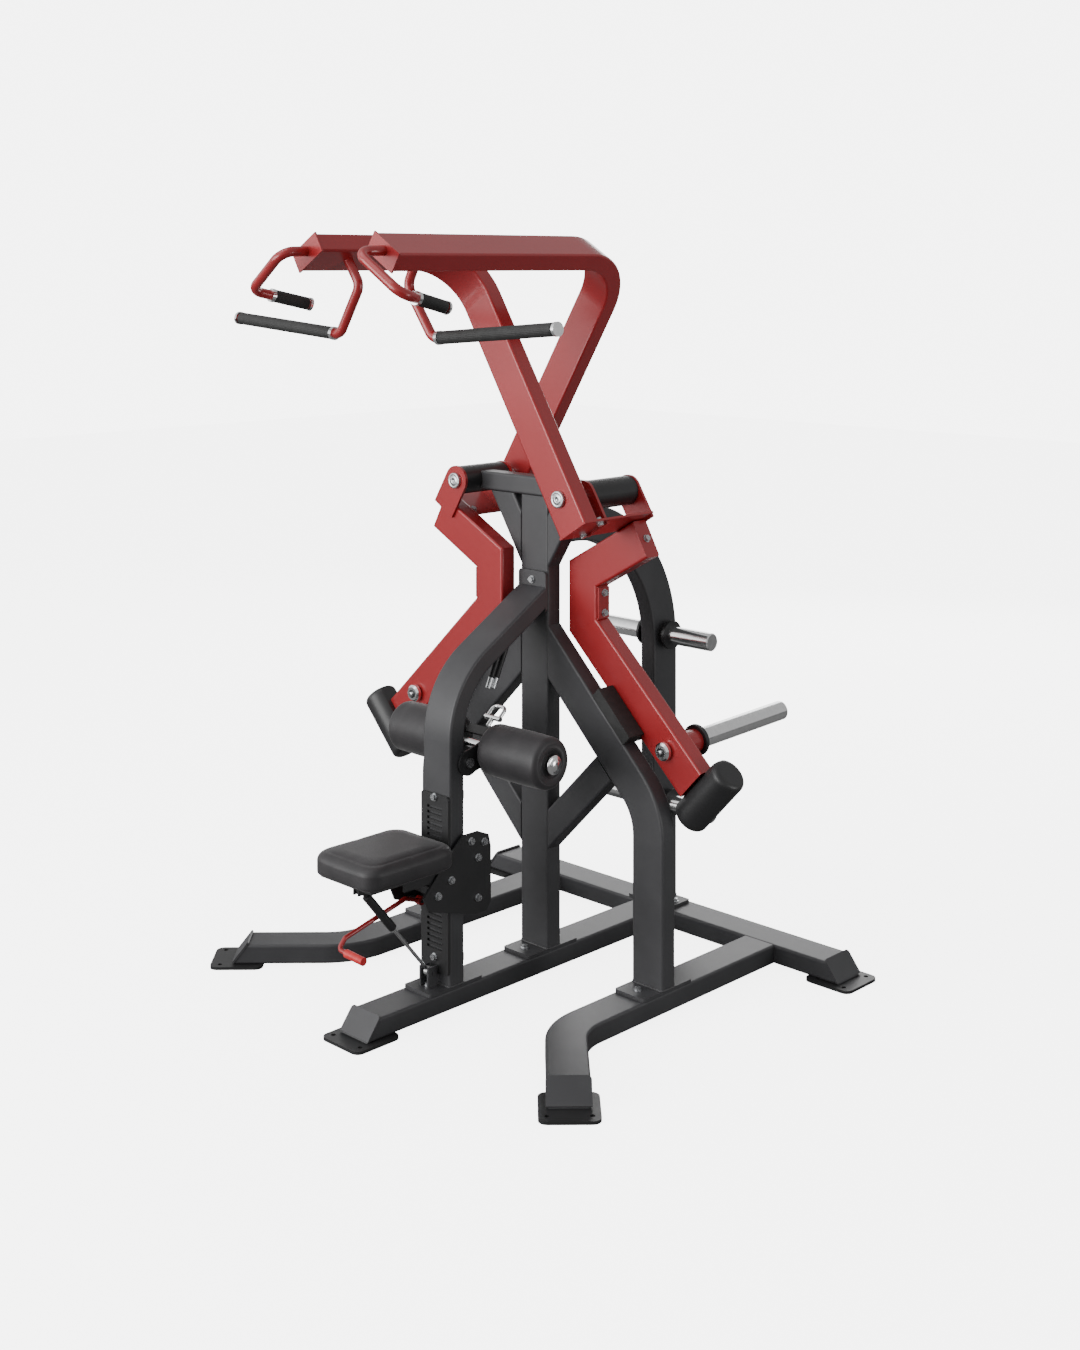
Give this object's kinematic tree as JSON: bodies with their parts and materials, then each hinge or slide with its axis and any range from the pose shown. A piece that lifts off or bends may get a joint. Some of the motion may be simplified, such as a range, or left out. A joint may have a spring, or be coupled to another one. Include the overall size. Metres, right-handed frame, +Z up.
{
  "type": "lat pulldown machine",
  "caption": "Free-standing plate-loaded lat pulldown machine: two crossing lever arms with handles, weight arms, adjustable seat and thigh rollers on a tube frame.",
  "frame": {"origin": "on the floor, under the middle of the machine's overall box", "axes": "+Z up, -Y towards the seat end, +X to the right of a person who looks along +Y from the seat"},
  "size_m": [1.3994, 1.3127, 1.9458],
  "materials": {
    "frame_paint": "satin powder coat",
    "black_paint": "satin powder coat",
    "red_paint": "gloss metallic red paint",
    "chrome": "polished chrome",
    "zinc": "zinc plated",
    "bronze": "turned bearing bronze",
    "rubber": "ribbed black rubber",
    "vinyl": "black upholstery vinyl",
    "red_plastic": "moulded red grip",
    "black_plastic": "moulded nylon"
  },
  "bodies": {
    "frame": {"centre_rail": "frame_paint", "left_side_rail": "frame_paint", "right_side_rail": "frame_paint", "rear_crossbar": "frame_paint", "foot_plates": "black_paint", "foot_end_plates": "frame_paint", "base_flanges": "frame_paint", "mast": "frame_paint", "top_beam": "frame_paint", "beam_struts": "frame_paint", "left_leg": "frame_paint", "right_leg": "frame_paint", "leg_braces": "frame_paint", "rear_arch": "frame_paint", "front_post": "frame_paint", "bearing_housings": "black_paint", "pivot_bushes": "bronze", "stop_bumpers": "rubber", "storage_horns": "chrome", "storage_collars": "black_paint", "frame_bolts": "zinc", "seat_guide_plate": "black_paint", "seat_guide_strip": "black_plastic", "gas_spring_bracket": "frame_paint", "band_pegs": "zinc"},
    "right_lever": {"right_pull_arm": "red_paint", "right_yoke": "red_paint", "right_weight_arm": "red_paint", "right_shaft": "zinc", "right_horn": "chrome", "right_horn_collar": "black_paint", "right_counterweight": "black_paint", "right_handles": "red_paint", "right_grips": "rubber", "right_grip_caps": "chrome", "right_bolts": "zinc"},
    "left_lever": {"left_pull_arm": "red_paint", "left_yoke": "red_paint", "left_weight_arm": "red_paint", "left_shaft": "zinc", "left_horn": "chrome", "left_horn_collar": "black_paint", "left_counterweight": "black_paint", "left_handles": "red_paint", "left_grips": "rubber", "left_grip_caps": "chrome", "left_bolts": "zinc"},
    "seat": {"seat_carriage": "black_paint", "carriage_bolts": "zinc", "seat_pan": "black_paint", "seat_pad": "vinyl"},
    "release": {"release_lever": "red_paint", "release_grip": "red_plastic"},
    "spring_rod": {"gas_spring_rod": "chrome"},
    "spring_tube": {"gas_spring_tube": "black_paint"},
    "thigh_arm": {"thigh_bracket": "black_paint", "thigh_axle": "chrome"},
    "thigh_pull_pin": {"thigh_pin": "chrome"},
    "right_roller": {"right_thigh_roller": "vinyl"},
    "left_roller": {"left_thigh_roller": "vinyl"}
  },
  "joints": [
    {"name": "right_lever_swing", "type": "hinge", "parent": "frame", "child": "right_lever", "pos_m": [0.2355, 0.1044, 1.28], "axis": [0, -1, 0], "range_deg": [0, 55]},
    {"name": "left_lever_swing", "type": "hinge", "parent": "frame", "child": "left_lever", "pos_m": [-0.2355, 0.1044, 1.28], "axis": [0, 1, 0], "range_deg": [0, 55]},
    {"name": "seat_height", "type": "slide", "parent": "frame", "child": "seat", "axis": [0, 0, 1], "range_m": [-0.06, 0.06]},
    {"name": "seat_release", "type": "hinge", "parent": "seat", "child": "release", "pos_m": [-0.02, -0.3076, 0.276], "axis": [-1, 0, 0], "range_deg": [0, 12], "stiffness_Nm_per_rad": 6, "springref_deg": -20.05},
    {"name": "spring_swing", "type": "hinge", "parent": "frame", "child": "spring_rod", "pos_m": [0, -0.2956, 0.1], "axis": [-1, 0, 0], "range_deg": [-7.5, 7.5]},
    {"name": "spring_stroke", "type": "slide", "parent": "spring_rod", "child": "spring_tube", "axis": [0, -0.6479, 0.7617], "range_m": [-0.047, 0.047]},
    {"name": "thigh_pad_height", "type": "hinge", "parent": "frame", "child": "thigh_arm", "pos_m": [0, -0.2116, 0.616], "axis": [1, 0, 0], "range_deg": [-10, 10]},
    {"name": "thigh_pin_pull", "type": "slide", "parent": "thigh_arm", "child": "thigh_pull_pin", "axis": [0, 0.7507, 0.6606], "range_m": [0, 0.012], "stiffness_N_per_m": 800, "springref_m": -0.006},
    {"name": "right_roller_spin", "type": "hinge", "parent": "thigh_arm", "child": "right_roller", "pos_m": [0.17, -0.1356, 0.638], "axis": [1, 0, 0], "continuous": true},
    {"name": "left_roller_spin", "type": "hinge", "parent": "thigh_arm", "child": "left_roller", "pos_m": [-0.17, -0.1356, 0.638], "axis": [1, 0, 0], "continuous": true}
  ],
  "couplings": [
    {"joint": "spring_swing", "follows": "seat_height", "rad_per_m": 1.8909},
    {"joint": "spring_stroke", "follows": "seat_height", "ratio": 0.7617}
  ]
}
